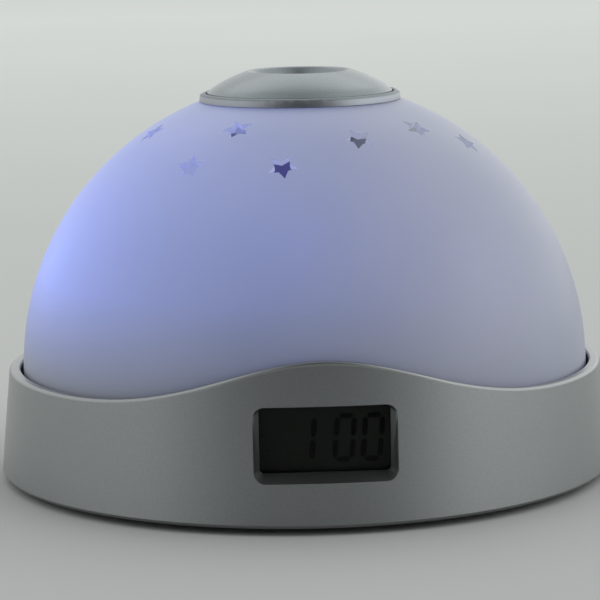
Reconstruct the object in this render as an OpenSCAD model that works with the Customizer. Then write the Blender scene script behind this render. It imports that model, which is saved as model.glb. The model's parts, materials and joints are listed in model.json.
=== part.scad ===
// Projection clock: dome-shaped bedside clock that throws star shapes on the walls.
// Millimetres, +Z up, the display faces -Y, the table is the plane z = 0.

/* [Base skirt] */
// Outer diameter of the skirt at its lower edge
base_d = 114; // [108:0.5:126]
// Height of the skirt's lower edge above the table
skirt_lift = 1.2; // [0.8:0.1:2]
// Height of the level rim above the skirt's lower edge
rim_h = 19.4; // [18.6:0.1:22]
// Extra height of the rim's crest over the display
crest_h = 8.6; // [7.6:0.1:11]
// Angle either side of the front at which the crest has fallen to 37 percent
crest_spread = 27; // [24:1:36]
// Inward lean of the skirt wall in degrees
skirt_draft = 5.7; // [4:0.1:6.5]
// Thickness of the skirt wall
skirt_wall = 2.1; // [1.8:0.1:2.5]
// Rounding of the rim's outer edge
rim_round = 0.8; // [0.4:0.1:1.2]

/* [Dome] */
// Gap between the dome and the rim
dome_gap = 0.5; // [0.3:0.05:0.8]
// Wall of the dome
dome_wall = 1.2; // [1:0.1:1.6]
// Tip to tip size of a star cut-out
star_d = 5.7; // [4:0.1:6.4]
// Inner corners of a star as a share of its tips
star_waist = 0.5; // [0.4:0.02:0.6]

/* [Cap] */
// Outer diameter of the trim ring
ring_d = 37.2; // [34:0.2:42]
// Height of the cap's crest above the ring's lower edge
crown_h = 5.4; // [5:0.1:6.2]
// Diameter of the crest around the dish
crest_d = 19; // [18:0.2:20]
// Depth of the dish inside the crest
dish_drop = 1.8; // [1.6:0.1:2]
// Diameter of the light hole in the dish
light_hole_d = 8.4; // [6:0.2:9]
// Press travel of the cap
cap_travel = 1.2; // [0.8:0.1:1.5]

/* [Display] */
// Width of the display recess
window_w = 24.7; // [22:0.1:28]
// Height of the display recess
window_h = 13; // [12:0.1:13.6]
// Height of the recess's middle above the table
window_z = 15.2; // [14.8:0.1:15.8]
// Inward slope of the recess at its sides
bezel_side = 1.15; // [0.8:0.05:1.6]
// Inward slope of the recess along its sill
bezel_sill = 1.4; // [1:0.1:1.8]

/* [Keys] */
// Width of a key
key_w = 6.2; // [5:0.1:7]
// Height of a key
key_h = 4.2; // [3.4:0.1:4.6]
// Spacing of the keys
key_pitch = 9.2; // [8.8:0.1:10.5]
// Press travel of a key
key_travel = 0.6; // [0.3:0.05:0.8]

/* [Battery] */
// Diameter of a cell
cell_d = 10.4; // [10:0.1:10.6]
// Length of a cell over its contact
cell_l = 44.5; // [44:0.1:45]

/* [Underside] */
// Diameter of a foot
foot_d = 9; // [6:0.5:10]
// Thickness of the bottom cover
cover_t = 2.4; // [2.2:0.1:3]
// Travel of the light switch
slide_travel = 2.4; // [1.5:0.1:3]

/* [Hidden] */
$fn = 96;
// clearances
slide_fit = 0.25;
loose_fit = 0.3;
pin_fit = 0.05;
press_gap = 0.1;
overcut = 1;

// skirt
loft_steps = 120;
lip_steps = 4;
lip_break = 0.3;
edge_round = 0.6;
rim_level = skirt_lift + rim_h;
function skirt_r(z) = base_d / 2 - (z - skirt_lift) * tan(skirt_draft);
function skirt_in(z) = skirt_r(z) - skirt_wall;
function from_front(a) = a > 180 ? 360 - a : a;
function rim_z(a) = rim_level + crest_h * exp(-pow(from_front(a) / crest_spread, 2));

// dome
dome_r = skirt_in(rim_level) - dome_gap;
dome_in = dome_r - dome_wall;
dome_sink = 0.7;
dome_z = rim_level - dome_sink;
function dome_top(r) = dome_z + sqrt(dome_r * dome_r - r * r);
function dome_under(r) = dome_z + sqrt(dome_in * dome_in - r * r);

// shelf inside the skirt that carries the dome
neck_h = 6.6;
shelf_t = 1.6;
shelf_top = rim_level - neck_h;
shelf_low = shelf_top - shelf_t;
shelf_w = 7.4;
shelf_in = dome_r - shelf_w;

// bottom cover, feet and case screws
cover_inset = 0.6;
cover_z = skirt_lift + cover_inset;
cover_top = cover_z + cover_t;
cover_r = skirt_in(cover_top) - loose_fit;
foot_inset = 0.8;
foot_edge = 8.3;
foot_ring = cover_r - foot_edge;
foot_angles = [45, 135, 225, 315];
boss_r = 3;
boss_edge = 3.2;
boss_ring = dome_r - boss_edge;
boss_angles = [25, 155, 215, 325];
screw_r = 1.1;
head_r = 2.3;
head_h = 1.2;
pilot_depth = 5;

// lugs that hold the dome to the shelf
lug_r = 3;
lug_h = 7;
lug_root = 0.6;
lug_ring = dome_in - lug_r + lug_root;
lug_angles = [0, 62, 118, 180];

// battery tray and door
cell_n = 3;
cell_r = cell_d / 2;
cell_gap = 0.5;
cell_pitch = cell_d + cell_gap;
nub_r = 1.9;
nub_h = 1;
contact_t = 0.4;
spring_l = 4.7;
tray_wall = 1.6;
tray_y = 6;
tray_l = cell_l + spring_l + 2 * contact_t;
tray_w = cell_n * cell_pitch;
ledge = 0.8;
door_inset = 0.4;
door_t = cover_t - door_inset;
door_l = tray_l + 2 * ledge - 2 * loose_fit;
door_w = tray_w + 2 * ledge - 2 * loose_fit;
hinge_x = door_l / 2 - door_t / 2;
hinge_z = cover_z + door_t / 2;
pin_r = 0.55;
pin_l = 1.5;
cell_z = cover_z + door_t + loose_fit + cell_r;
cell_room = 0.4;
roof_t = 1.4;
tray_in_top = cell_z + cell_r + cell_room;
roof_top = tray_in_top + roof_t;
thumb_r = 5;
catch_l = 8;
catch_slot = 0.8;
catch_y = 6;
catch_in = 3;
contact_w = 8;
contact_h = 8.5;

// light board and reflector
board_t = 1.2;
post_h = 1.2;
light_z = roof_top + post_h;
light_w = 36;
light_l = 22;
light_post_x = 14;
led_r = 2.5;
led_ring = 6;
led_flange_r = 2.9;
led_flange_h = 1;
led_h = 8.6;
light_post_r = 2.4;
plate_t = 1.2;
plate_lift = 0.4;
plat_z = light_z + board_t + head_h + plate_lift;
plat_r = 38.5;
plate_fit = 0.4;
plate_r = dome_in - plate_fit;
plate_flange = 4;
slope_r = plate_r - plate_flange;

// display stack, measured as distance from the axis towards the front
bezel_top = 0.2;
bezel_depth = 1.5;
window_round = 2;
land = 0.4;
window_t = 1.2;
view_w = window_w - 2 * bezel_side;
view_h = window_h - bezel_top - bezel_sill;
view_z = window_z + (bezel_sill - bezel_top) / 2;
view_round = 0.8;
corner_sides = 32;
window_lap = 1.6;
pocket_w = view_w + 2 * window_lap;
pocket_h = view_h + 2 * window_lap;
face_y = skirt_r(window_z);
edge_y = sqrt(face_y * face_y - window_w * window_w / 4);
seat_front = edge_y - bezel_depth;
glass_front = seat_front - land;
seat_back = glass_front - window_t - press_gap;
lcd_margin = 2.4;
lcd_w = view_w + 2 * lcd_margin;
lcd_trim = 0.8;
lcd_h = view_h + 2 * lcd_margin - lcd_trim;
lcd_t = 2.2;
lcd_front = seat_back - press_gap;
zebra_t = 1.8;
zebra_h = 1.8;
main_front = lcd_front - lcd_t - zebra_t;
main_back = main_front - board_t;
frame_wall = 1.6;
frame_w = lcd_w + 2 * frame_wall;
frame_h = lcd_h + 2 * frame_wall;
ear_r = 2.2;
ear_out = 1.5;
ear_x = frame_w / 2 + ear_out;
ear_t = 1.2;
ear_front = main_front + ear_t;
ear_pilot = 3.2;
chip_r = 5;
chip_h = 1.6;
chip_curve = 9;
can_r = 1;
can_l = 6;
can_pos = [-9, 4];
capacitor_r = 2.5;
capacitor_h = 5;
capacitor_pos = [9, 3];

// rear keys, measured as distance from the axis towards the rear
key_n = 4;
key_lift = 0.3;
key_z = (cover_top + shelf_low) / 2 + key_lift;
flange_lap = 0.9;
flange_w = key_w + 2 * flange_lap;
flange_h = key_h + 2 * flange_lap;
flange_t = 1;
key_proud = 0.7;
function key_x(i) = (i - (key_n - 1) / 2) * key_pitch;
function wall_y(x, z) = sqrt(pow(skirt_in(z), 2) - x * x);
function flange_y(x) = wall_y(abs(x) + flange_w / 2, key_z + flange_h / 2) - loose_fit;
function key_face(x) = sqrt(pow(skirt_r(key_z), 2) - x * x) + key_proud;
stub_r = 1.5;
stub_l = 0.4;
tact_s = 4.5;
tact_h = 2.4;
tact_tip_r = 1.2;
tact_tip_h = 0.7;
stub_end = flange_y(key_x(0)) - flange_t - stub_l;
key_board_out = stub_end - key_travel - press_gap - tact_h - tact_tip_h;
key_board_edge = 5;
key_board_w = (key_n - 1) * key_pitch + 2 * key_board_edge;
key_board_gap = 0.2;
key_board_low = cover_top + key_board_gap;
key_board_high = shelf_low - 2 * key_board_gap;
key_post = [3, 4, 5];

// cap, trim ring and the switches under it
ring_r = ring_d / 2;
ring_seat = 0.1;
ring_low = dome_top(ring_r) + ring_seat;
lip_h = 1.5;
lip_z = ring_low + lip_h;
ring_w = 1.25;
ring_in = ring_r - ring_w;
ring_lap = 0.5;
ring_foot = 0.5;
ring_flat = 0.3;
ring_break = 0.2;
sleeve_r = ring_r - ring_lap;
sleeve_fit = 0.15;
dome_hole_r = sleeve_r + sleeve_fit;
cap_r = ring_in - slide_fit;
cap_wall = 1.5;
crown_z = ring_low + crown_h;
cap_rise = 0.25;
flank_z = lip_z + cap_rise;
crest_r = crest_d / 2;
crest_round = 1;
crest_slope = 18;
crest_steps = 6;
flank_steps = 8;
flank_foot = [cap_r, flank_z];
flank_top = [crest_r + crest_round * sin(crest_slope), crown_z - crest_round * (1 - cos(crest_slope))];
flank_l = norm(flank_foot - flank_top);
flank_out = [flank_top[1] - flank_foot[1], flank_foot[0] - flank_top[0]] / flank_l;
flank_bulge = flank_l / 4 * tan(atan2(flank_out[0], flank_out[1]) - crest_slope);
dish_slope = 45;
dish_floor = crown_z - dish_drop;
dish_foot = crest_r - crest_round * sin(dish_slope)
  - (dish_drop - crest_round * (1 - cos(dish_slope))) / tan(dish_slope);
light_hole_r = light_hole_d / 2;
lens_lap = 0.8;
lens_r = light_hole_r + lens_lap;
lens_t = 1.3;
lens_ledge = 0.9;
lens_z = dish_floor - lens_ledge - lens_t;
lens_bulge = 0.6;
lens_curve = 3 * lens_r;
hub_wall = 1.4;
hub_r = lens_r + hub_wall;
hub_rim = 0.8;
seat_wall = 1.4;
seat_z = dish_floor - seat_wall;
seat_w = 2.2;
coil_fit = 0.9;
coil_r = hub_r + coil_fit;
coil_wire = 0.7;
coil_turns = 4;
cup_depth = 5;
switch_low = ring_low - cup_depth;
switch_top = switch_low + board_t;
ring_floor_t = 1.2;
ring_floor_w = 3.2;
ring_floor_in = cap_r - ring_floor_w;
cap_skirt_low = switch_top + cap_travel + loose_fit;
tact_out = 5.4;
tact_x = hub_r + tact_out;
tact_top = switch_top + tact_h + tact_tip_h;
rib_low = tact_top + cap_travel + press_gap;
rib_r = 1.2;
rib_root = 0.1;
hook_angles = [90, 210, 330];
hook_w = 4;
hook_catch = 0.9;
hook_t = 1.2;
hook_ease = 0.2;
under_foot = [cap_r - cap_wall, flank_z - 2 * hook_ease];
under_top = flank_top - cap_wall * flank_out;
rib_top = rib_root + lookup(tact_x - rib_r, [under_top, under_foot]);
hook_low = switch_low - ring_floor_t - press_gap;
keeper_w = 3.4;
keeper_t = 1.8;
keeper_r = sleeve_r + keeper_w;
keeper_low = dome_under(keeper_r) - keeper_t;

// speaker
speaker_r = 13;
speaker_h = 5;
speaker_gap = 4;
speaker_y = tray_y - tray_w / 2 - tray_wall - speaker_gap - speaker_r;
basket_t = 0.8;
basket_rim = 2.4;
basket_step = 1.5;
basket_rim_h = 1.2;
basket_lap = 2;
magnet_r = 6.5;
magnet_h = 3;
cone_t = 0.4;
cone_fit = 0.2;
cone_low = 0.3;
cone_coil_r = 4;
cone_h = 3.4;
cone_dust = 1;
cone_r = speaker_r - basket_rim - cone_fit;
fence_t = 1.6;
fence_h = 3;
terminal_w = 6;
terminal_d = 2;
terminal_low = 0.6;
grille_r = 0.9;
grille_pitch = 3.6;

// light switch under the base
slide_edge = 16.2;
slide_pos = [cover_r - slide_edge, -14];
slide_spare = 6.6;
slide_case_l = slide_travel + slide_spare;
slide_case_w = 4.6;
slide_case_h = 4.2;
slide_wall = 0.5;
knob_l = 2.6;
knob_w = 2.2;
knob_proud = 0.8;
knob_plate = 1.4;
knob_lap = 1;

// leads between the boards
lead_r = 0.5;
lead_steps = 10;
lead_stub = 0.6;
lead_gap = 1.6;
wire_sides = 8;
switch_lead_y = 12;
board_edge = 1.2;
light_lead_y = light_l / 2 - board_edge;
light_edge_z = light_z + board_t / 2;
light_lead_x = -8.8;
light_lead_z = view_z + 1.5;
light_lead_run = 12;
light_lead_dip = 1.6;
switch_lead_swing = [10, 20];
key_lead_x = -6;
key_lead_up = 1;
key_lead_run = 10;
key_lead_swing = [30, 0.5];
battery_lead_run = 2;
speaker_lead_run = 4;
tab_w = 2;
tab_h = 2.6;
terminal_y = speaker_y - speaker_r + terminal_d / 2 + cone_fit;
terminal_h = 2;
terminal_z = cover_top + terminal_h;
speaker_lead_z = view_z - chip_r - 2 * lead_r;

// star cut-outs: angle from the front, height above the dome's equator, turn
stars = [
  [17.6, 57.3, 16], [47, 59, 25], [67, 52.5, 40], [98, 49, 0], [125, 60, 20], [152, 51, 35], [180, 58, 5],
  [208, 49, 15], [236, 60, 30], [262, 51, 12], [284, 57.5, 22], [321.5, 49.5, 8], [330.5, 61, 28],
  [351, 50.1, 48],
];

// helpers
module ring(r_out, r_in, h) {
  difference() {
    cylinder(r = r_out, h = h);
    translate([0, 0, -overcut]) cylinder(r = r_in, h = h + 2 * overcut);
  }
}

module around(r, angles) {
  for (a = angles) rotate([0, 0, a]) translate([r, 0, 0]) children();
}

// local z runs towards the front, local y is height
module to_front() {
  rotate([90, 0, 0]) children();
}

// local z runs towards the rear, local y is height
module to_rear() {
  rotate([90, 0, 180]) children();
}

module rounded(w, h, r) {
  square([w - 2 * r, h], center = true);
  square([w, h - 2 * r], center = true);
  for (x = [-1, 1], y = [-1, 1]) translate([x * (w / 2 - r), y * (h / 2 - r)]) circle(r = r);
}

module stadium(w, h) {
  square([w - h, h], center = true);
  for (x = [-1, 1]) translate([x * (w - h) / 2, 0]) circle(d = h);
}

module slab(w, l, h) {
  translate([-w / 2, -l / 2, 0]) cube([w, l, h]);
}

module pan_screw(length) {
  translate([0, 0, -head_h]) cylinder(r = head_r, h = head_h);
  cylinder(r = screw_r, h = length);
}

module tact_switch() {
  slab(tact_s, tact_s, tact_h);
  cylinder(r = tact_tip_r, h = tact_h + tact_tip_h);
}

// round wire along a list of points, each ring square to the run
function unit(v) = v / norm(v);
function run_at(path, i) = unit(path[min(i + 1, len(path) - 1)] - path[max(i - 1, 0)]);
function wire_points(path, r, sides, across) = [
  for (i = [0:len(path) - 1])
    let (run = run_at(path, i), side = unit(cross(run, across)), up = cross(side, run))
      for (k = [0:sides - 1]) path[i] + r * (cos(360 * k / sides) * side + sin(360 * k / sides) * up)
];
function wire_faces(rings, sides) = concat(
  [for (i = [0:rings - 2], k = [0:sides - 1]) let (n = (k + 1) % sides)
    [i * sides + k, (i + 1) * sides + n, i * sides + n]],
  [for (i = [0:rings - 2], k = [0:sides - 1]) let (n = (k + 1) % sides)
    [i * sides + k, (i + 1) * sides + k, (i + 1) * sides + n]],
  [for (k = [1:sides - 2]) [0, k, k + 1]],
  [for (k = [1:sides - 2]) let (e = (rings - 1) * sides) [e, e + k + 1, e + k]]);

module wire(path, r, sides, across) {
  polyhedron(wire_points(path, r, sides, across), wire_faces(len(path), sides));
}

module lead(ends, across = [1, 0, 0]) {
  wire(bend(ends, lead_steps), lead_r, wire_sides, across);
}

// smooth run from one end to the other with a straight stub at each, along the two inner points
function stub(from, to) = from + lead_stub * unit(to - from);
function curve(a, b, c, d, t) = let (u = 1 - t)
  u * u * u * a + 3 * u * u * t * b + 3 * u * t * t * c + t * t * t * d;
function bend(ends, steps) =
  let (first = stub(ends[0], ends[1]), last = stub(ends[3], ends[2]))
    concat([ends[0]], [for (i = [0:steps]) curve(first, ends[1], ends[2], last, i / steps)], [ends[3]]);

function helix(r_low, r_high, h, turns, steps) = [
  for (i = [0:turns * steps])
    let (t = i / (turns * steps), r = r_low + (r_high - r_low) * t)
      [r * cos(360 * turns * t), r * sin(360 * turns * t), h * t]
];

// least distance between one turn and the next, less the wire
function coil_gap(path, steps, wire_d) = min([
  for (i = [0:len(path) - 1], k = [i + ceil(steps / 2):1:len(path) - 1]) norm(path[i] - path[k])]) - wire_d;

// base skirt
function lip_profile(a) = let (top = rim_z(a), mid = top - rim_round) concat(
  [[skirt_r(skirt_lift) - edge_round, skirt_lift]],
  [[skirt_r(skirt_lift + edge_round), skirt_lift + edge_round]],
  [for (k = [0:lip_steps]) let (t = 90 * k / lip_steps)
    [skirt_r(mid) - rim_round * (1 - cos(t)), mid + rim_round * sin(t)]],
  [[skirt_in(top) + lip_break, top], [skirt_in(top - lip_break), top - lip_break]],
  [[skirt_in(skirt_lift), skirt_lift]]);

module skirt_loft() {
  profiles = [for (i = [0:loft_steps - 1]) lip_profile(360 * i / loft_steps)];
  n = len(profiles[0]);
  points = [for (i = [0:loft_steps - 1]) let (a = 360 * i / loft_steps)
    for (p = profiles[i]) [p[0] * sin(a), -p[0] * cos(a), p[1]]];
  cells = [for (i = [0:loft_steps - 1], j = [0:n - 1])
    let (i2 = (i + 1) % loft_steps, j2 = (j + 1) % n) [i * n + j, i * n + j2, i2 * n + j2, i2 * n + j]];
  faces = [for (c = cells, half = [0, 1]) half == 0 ? [c[0], c[1], c[2]] : [c[0], c[2], c[3]]];
  polyhedron(points, faces);
}

module display_block(grow) {
  translate([0, view_z]) square([frame_w + 2 * grow, frame_h + 2 * grow], center = true);
}

module display_ears(grow) {
  translate([0, view_z]) stadium(2 * (ear_x + ear_r + grow), 2 * (ear_r + grow));
}

module display_outline(grow) {
  display_block(grow);
  display_ears(grow);
}

module display_seat() {
  intersection() {
    to_front() {
      translate([0, 0, seat_back]) linear_extrude(base_d / 2 - seat_back) display_outline(0);
      for (x = [-1, 1]) translate([x * ear_x, view_z, ear_front])
        cylinder(r = ear_r, h = base_d / 2 - ear_front);
    }
    cylinder(r1 = skirt_in(0) + skirt_wall / 2, r2 = skirt_in(rim_level * 2) + skirt_wall / 2,
      h = rim_level * 2);
  }
}

module display_recess() {
  to_front() {
    hull() {
      translate([0, window_z, edge_y]) rotate([-skirt_draft, 0, 0]) linear_extrude(base_d / 2 - edge_y)
        rounded(window_w, window_h, window_round, $fn = corner_sides);
      translate([0, view_z, seat_front]) linear_extrude(press_gap)
        rounded(view_w, view_h, view_round, $fn = corner_sides);
    }
    translate([0, view_z, seat_back - overcut])
      linear_extrude(seat_front + press_gap - seat_back + overcut)
        rounded(view_w, view_h, view_round, $fn = corner_sides);
    translate([0, view_z, seat_back - overcut]) linear_extrude(glass_front - seat_back + overcut)
      square([pocket_w, pocket_h], center = true);
    for (x = [-1, 1]) translate([x * ear_x, view_z, ear_front - overcut])
      cylinder(r = screw_r + pin_fit, h = ear_pilot + overcut);
  }
}

module base_skirt() {
  color("silver") difference() {
    union() {
      skirt_loft();
      translate([0, 0, shelf_low]) ring(skirt_in(shelf_low) + skirt_wall / 2, shelf_in, shelf_t);
      around(boss_ring, boss_angles) translate([0, 0, cover_top])
        cylinder(r = boss_r, h = shelf_top - cover_top);
      display_seat();
    }
    display_recess();
    to_front() translate([0, 0, shelf_in - overcut]) {
      linear_extrude(seat_back - shelf_in + overcut) display_block(loose_fit);
      linear_extrude(ear_front - shelf_in + overcut) display_ears(loose_fit);
    }
    around(boss_ring, boss_angles) translate([0, 0, cover_top - overcut])
      cylinder(r = screw_r + pin_fit, h = pilot_depth + overcut);
    around(lug_ring, lug_angles) translate([0, 0, shelf_low - overcut])
      cylinder(r = screw_r + loose_fit, h = shelf_t + 2 * overcut);
    to_rear() for (i = [0:key_n - 1]) translate([key_x(i), key_z, shelf_in])
      linear_extrude(base_d / 2 - shelf_in) stadium(key_w + 2 * slide_fit, key_h + 2 * slide_fit);
  }
}

// dome and what holds it
function star_outline() = [for (k = [0:9])
  let (r = star_d / 2 * (k % 2 == 0 ? 1 : star_waist)) [r * cos(36 * k + 90), r * sin(36 * k + 90)]];

module star_cut(s) {
  translate([0, 0, dome_z]) rotate([0, 0, s[0]]) rotate([90 - s[1], 0, 0])
    rotate([0, 0, s[2]]) translate([0, 0, dome_in - overcut])
      linear_extrude(dome_wall + 2 * overcut) polygon(star_outline());
}

module dome_diffuser() {
  color("lavender") difference() {
    union() {
      difference() {
        union() {
          translate([0, 0, dome_z]) sphere(r = dome_r);
          translate([0, 0, shelf_top]) cylinder(r = dome_r, h = dome_z - shelf_top);
        }
        translate([0, 0, dome_z]) sphere(r = dome_in);
        translate([0, 0, shelf_top - overcut]) cylinder(r = dome_in, h = dome_z - shelf_top + overcut);
        translate([0, 0, dome_z - 2 * dome_r])
          slab(3 * dome_r, 3 * dome_r, shelf_top - dome_z + 2 * dome_r);
      }
      around(lug_ring, lug_angles) translate([0, 0, shelf_top]) cylinder(r = lug_r, h = lug_h);
    }
    around(lug_ring, lug_angles) translate([0, 0, shelf_top - overcut])
      cylinder(r = screw_r + pin_fit, h = pilot_depth + overcut);
    translate([0, 0, dome_z]) cylinder(r = dome_hole_r, h = 2 * dome_r);
    to_front() translate([0, 0, shelf_in]) linear_extrude(dome_r) {
      display_outline(2 * loose_fit);
      translate([0, view_z / 2]) square([2 * (ear_x + ear_r + 2 * loose_fit), view_z], center = true);
    }
    for (s = stars) star_cut(s);
  }
}

module dome_screws() {
  color("gainsboro") around(lug_ring, lug_angles) translate([0, 0, shelf_low])
    pan_screw(shelf_t + pilot_depth - 1);
}

module reflector_plate() {
  color("white") difference() {
    rotate_extrude() polygon([
      [0, plat_z], [plat_r, plat_z], [slope_r, shelf_top], [plate_r, shelf_top],
      [plate_r, shelf_top + plate_t], [slope_r + plate_t / 2, shelf_top + plate_t],
      [plat_r + plate_t / 2, plat_z + plate_t], [0, plat_z + plate_t]]);
    around(led_ring, [90, 210, 330]) translate([0, 0, plat_z - overcut])
      cylinder(r = led_flange_r + loose_fit, h = plate_t + 2 * overcut);
    around(lug_ring, lug_angles) translate([0, 0, shelf_top - overcut]) {
      cylinder(r = lug_r + 2 * loose_fit, h = lug_h);
      translate([0, -lug_r - 2 * loose_fit, 0]) cube([lug_r * 2, 2 * lug_r + 4 * loose_fit, lug_h]);
    }
    translate([0, light_lead_y, plat_z - overcut]) linear_extrude(plate_t + 2 * overcut)
      stadium(lead_gap + 4 * lead_r, 4 * lead_r);
    translate([0, -base_d / 2 - main_back + capacitor_h + 1, 0])
      slab(2 * (ear_x + 2 * ear_r), base_d, base_d / 2);
  }
}

// light board with three lamps
module light_board() {
  color("seagreen") difference() {
    translate([0, 0, light_z]) slab(light_w, light_l, board_t);
    for (x = [-1, 1]) translate([x * light_post_x, 0, light_z - overcut])
      cylinder(r = screw_r + pin_fit, h = board_t + 2 * overcut);
  }
}

module light_board_screws() {
  color("gainsboro") for (x = [-1, 1]) translate([x * light_post_x, 0, light_z + board_t])
    mirror([0, 0, 1]) pan_screw(board_t + post_h);
}

module led(angle) {
  around(led_ring, [angle]) translate([0, 0, light_z + board_t]) {
    cylinder(r = led_flange_r, h = led_flange_h);
    cylinder(r = led_r, h = led_h - led_r);
    translate([0, 0, led_h - led_r]) sphere(r = led_r);
  }
}

module red_led() {
  color("tomato") led(90);
}

module green_led() {
  color("palegreen") led(210);
}

module blue_led() {
  color("royalblue") led(330);
}

// cap on top of the dome
module trim_ring() {
  color("whitesmoke") difference() {
    rotate_extrude() polygon([
      [ring_r, ring_low], [ring_r - ring_seat, ring_low + ring_foot],
      [ring_in + ring_break + ring_flat, lip_z], [ring_in + ring_break, lip_z],
      [ring_in, lip_z - ring_break], [ring_in, switch_low], [ring_floor_in, switch_low],
      [ring_floor_in, switch_low - ring_floor_t], [sleeve_r, switch_low - ring_floor_t],
      [sleeve_r, dome_top(sleeve_r) + ring_seat]]);
    for (a = hook_angles) rotate([0, 0, a])
      translate([cap_r - cap_wall - loose_fit, -hook_w / 2 - loose_fit, 0])
      translate([0, 0, hook_low - overcut])
        cube([ring_in - cap_r + cap_wall + loose_fit, hook_w + 2 * loose_fit, ring_floor_t + 2 * overcut]);
  }
}

module retaining_ring() {
  color("dimgray") difference() {
    translate([0, 0, keeper_low]) ring(keeper_r, sleeve_r + press_gap, dome_top(0) - keeper_low);
    difference() {
      translate([0, 0, keeper_low - overcut]) cylinder(r = 2 * keeper_r, h = dome_r);
      translate([0, 0, dome_z]) sphere(r = dome_in - press_gap);
    }
  }
}

// crown: bulged flank, rounded crest, and a sloping dish around the light hole
function flank_arc() = [for (k = [0:flank_steps]) let (t = k / flank_steps)
  flank_foot + t * (flank_top - flank_foot) + 4 * flank_bulge * t * (1 - t) * flank_out];
function crest_arc() = [for (k = [1:crest_steps])
  let (t = crest_slope - (crest_slope + dish_slope) * k / crest_steps)
    [crest_r + crest_round * sin(t), crown_z - crest_round * (1 - cos(t))]];

module top_button() {
  color("lightgray") {
    rotate_extrude() polygon(concat(
      [[cap_r, cap_skirt_low]], flank_arc(), crest_arc(), [[dish_foot, dish_floor]],
      [[light_hole_r, dish_floor], [light_hole_r, lens_z + lens_t], [lens_r + press_gap, lens_z + lens_t]],
      [[lens_r + press_gap, lens_z - hub_rim], [hub_r, lens_z - hub_rim]],
      [[hub_r, seat_z], [hub_r + seat_w, seat_z]],
      [under_top, under_foot, [cap_r - cap_wall, cap_skirt_low]]));
    for (x = [-1, 1]) translate([x * tact_x, 0, rib_low])
      cylinder(r = rib_r, h = rib_top - rib_low);
    for (a = hook_angles) rotate([0, 0, a]) intersection() {
      translate([0, -hook_w / 2, hook_low - hook_t])
        cube([cap_r, hook_w, cap_skirt_low - hook_low + 2 * hook_t]);
      union() {
        translate([0, 0, hook_low - hook_t])
          ring(cap_r - hook_ease, cap_r - cap_wall + hook_ease, cap_skirt_low - hook_low + 2 * hook_t);
        translate([0, 0, hook_low - hook_t])
          ring(cap_r - 2 * hook_ease, cap_r - cap_wall - hook_catch, hook_t);
      }
    }
  }
}

module projection_lens() {
  color("slategray") translate([0, 0, lens_z]) {
    cylinder(r = lens_r, h = lens_t - press_gap);
    intersection() {
      cylinder(r = light_hole_r - loose_fit, h = 2 * lens_t);
      translate([0, 0, lens_t + lens_bulge - lens_curve]) sphere(r = lens_curve);
    }
  }
}

coil_steps = 12;
coil_path = helix(coil_r, coil_r, seat_z - switch_top - coil_wire - press_gap, coil_turns, coil_steps);
cell_wire = 0.6;
cell_turns = 3;
cell_coil = [3.4, 2.2];
cell_path = helix(cell_coil[0], cell_coil[1], spring_l - cell_wire - press_gap, cell_turns, coil_steps);
echo(button_spring_least_gap = coil_gap(coil_path, coil_steps, coil_wire));
echo(battery_spring_least_gap = coil_gap(cell_path, coil_steps, cell_wire));

module button_spring() {
  color("silver") translate([0, 0, switch_top + (coil_wire + press_gap) / 2])
    wire(coil_path, coil_wire / 2, wire_sides, [0, 0, 1]);
}

module switch_board() {
  color("seagreen") difference() {
    translate([0, 0, switch_low]) ring(ring_in - loose_fit, coil_r - coil_wire, board_t);
    for (a = hook_angles) rotate([0, 0, a])
      translate([cap_r - cap_wall - hook_catch - loose_fit, -hook_w / 2 - loose_fit, switch_low - overcut])
        cube([ring_r, hook_w + 2 * loose_fit, board_t + 2 * overcut]);
  }
}

module cap_switches() {
  color("dimgray") for (x = [-1, 1]) translate([x * tact_x, 0, switch_top]) tact_switch();
}

// display stack
module lcd_window() {
  color("slategray") to_front() translate([0, view_z, glass_front - window_t]) linear_extrude(window_t)
    square([pocket_w - 2 * press_gap, pocket_h - 2 * press_gap], center = true);
}

module lcd_panel() {
  color("darkslategray") to_front() {
    translate([0, view_z, lcd_front - lcd_t]) linear_extrude(lcd_t / 2)
      square([lcd_w, lcd_h], center = true);
    translate([0, view_z, lcd_front - lcd_t / 2]) linear_extrude(lcd_t / 2)
      square([lcd_w, lcd_h - 2 * zebra_h], center = true);
  }
}

module lcd_frame() {
  color("whitesmoke") to_front() difference() {
    union() {
      translate([0, 0, main_front]) linear_extrude(seat_back - main_front) display_block(0);
      translate([0, 0, main_front]) linear_extrude(ear_t) display_ears(0);
    }
    translate([0, view_z, lcd_front - lcd_t]) linear_extrude(lcd_t + overcut)
      square([lcd_w + 2 * press_gap, lcd_h + 2 * press_gap], center = true);
    for (s = [-1, 1]) translate([0, view_z + s * (lcd_h - zebra_h) / 2, main_front - overcut])
      linear_extrude(zebra_t + 2 * overcut) square([lcd_w, zebra_h + 2 * press_gap], center = true);
    for (x = [-1, 1]) translate([x * ear_x, view_z, main_front - overcut])
      cylinder(r = screw_r + pin_fit, h = seat_back - main_front + 2 * overcut);
  }
}

module zebra_strips() {
  color("dimgray") to_front() for (s = [-1, 1])
    translate([0, view_z + s * (lcd_h - zebra_h) / 2, main_front]) linear_extrude(zebra_t)
      square([lcd_w - 2 * press_gap, zebra_h], center = true);
}

module main_board() {
  color("seagreen") to_front() difference() {
    translate([0, 0, main_back]) linear_extrude(board_t) display_outline(0);
    for (x = [-1, 1]) translate([x * ear_x, view_z, main_back - overcut])
      cylinder(r = screw_r + pin_fit, h = board_t + 2 * overcut);
  }
}

module display_screws() {
  color("gainsboro") to_front() for (x = [-1, 1]) translate([x * ear_x, view_z, main_back])
    pan_screw(board_t + ear_t + ear_pilot - 0.4);
}

module clock_chip() {
  color("black") to_front() intersection() {
    translate([0, view_z, main_back - chip_h]) cylinder(r = chip_r, h = chip_h);
    translate([0, view_z, main_back - chip_h + chip_curve]) sphere(r = chip_curve);
  }
}

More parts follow.
